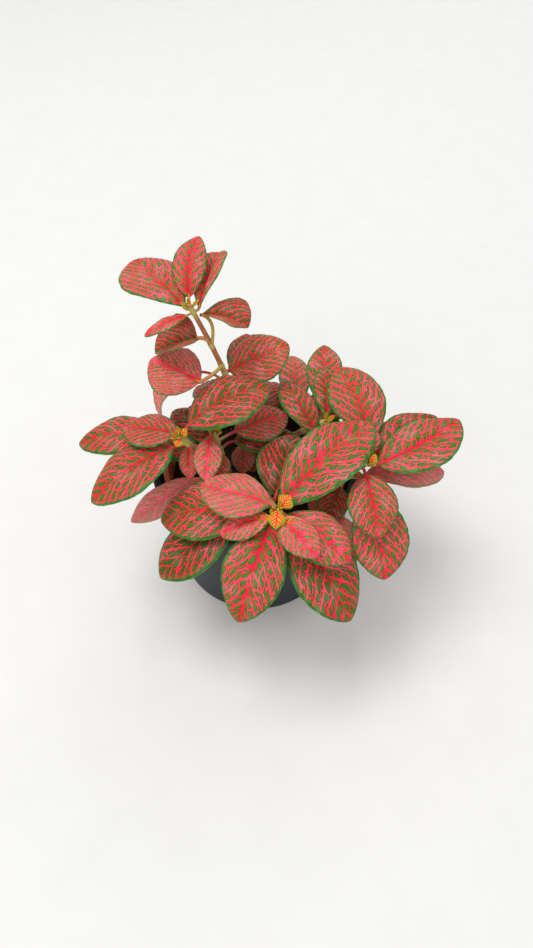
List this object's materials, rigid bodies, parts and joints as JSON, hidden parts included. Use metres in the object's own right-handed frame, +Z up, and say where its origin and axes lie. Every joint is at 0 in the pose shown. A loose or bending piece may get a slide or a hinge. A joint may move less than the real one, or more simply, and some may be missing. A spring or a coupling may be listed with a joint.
{
  "type": "potted nerve plant",
  "caption": "Pink-veined nerve plant with leafy shoots, growing in a terracotta nursery pot that stands in a dark tapered cover pot.",
  "frame": {"origin": "centre of the cover pot's flat underside", "axes": "+Z up, -Y towards the front, +X to the right as seen from the front"},
  "size_m": [0.1735, 0.1511, 0.1684],
  "materials": {
    "cover_shell": "satin",
    "nursery_plastic": "satin",
    "peat": "matte",
    "foliage": "satin"
  },
  "bodies": {
    "root": {"cover_pot": "cover_shell", "nursery_pot": "nursery_plastic", "soil": "peat", "shoot_front": "foliage", "shoot_left": "foliage", "shoot_tall": "foliage", "shoot_right": "foliage", "shoot_middle": "foliage", "shoot_back": "foliage"}
  },
  "joints": []
}
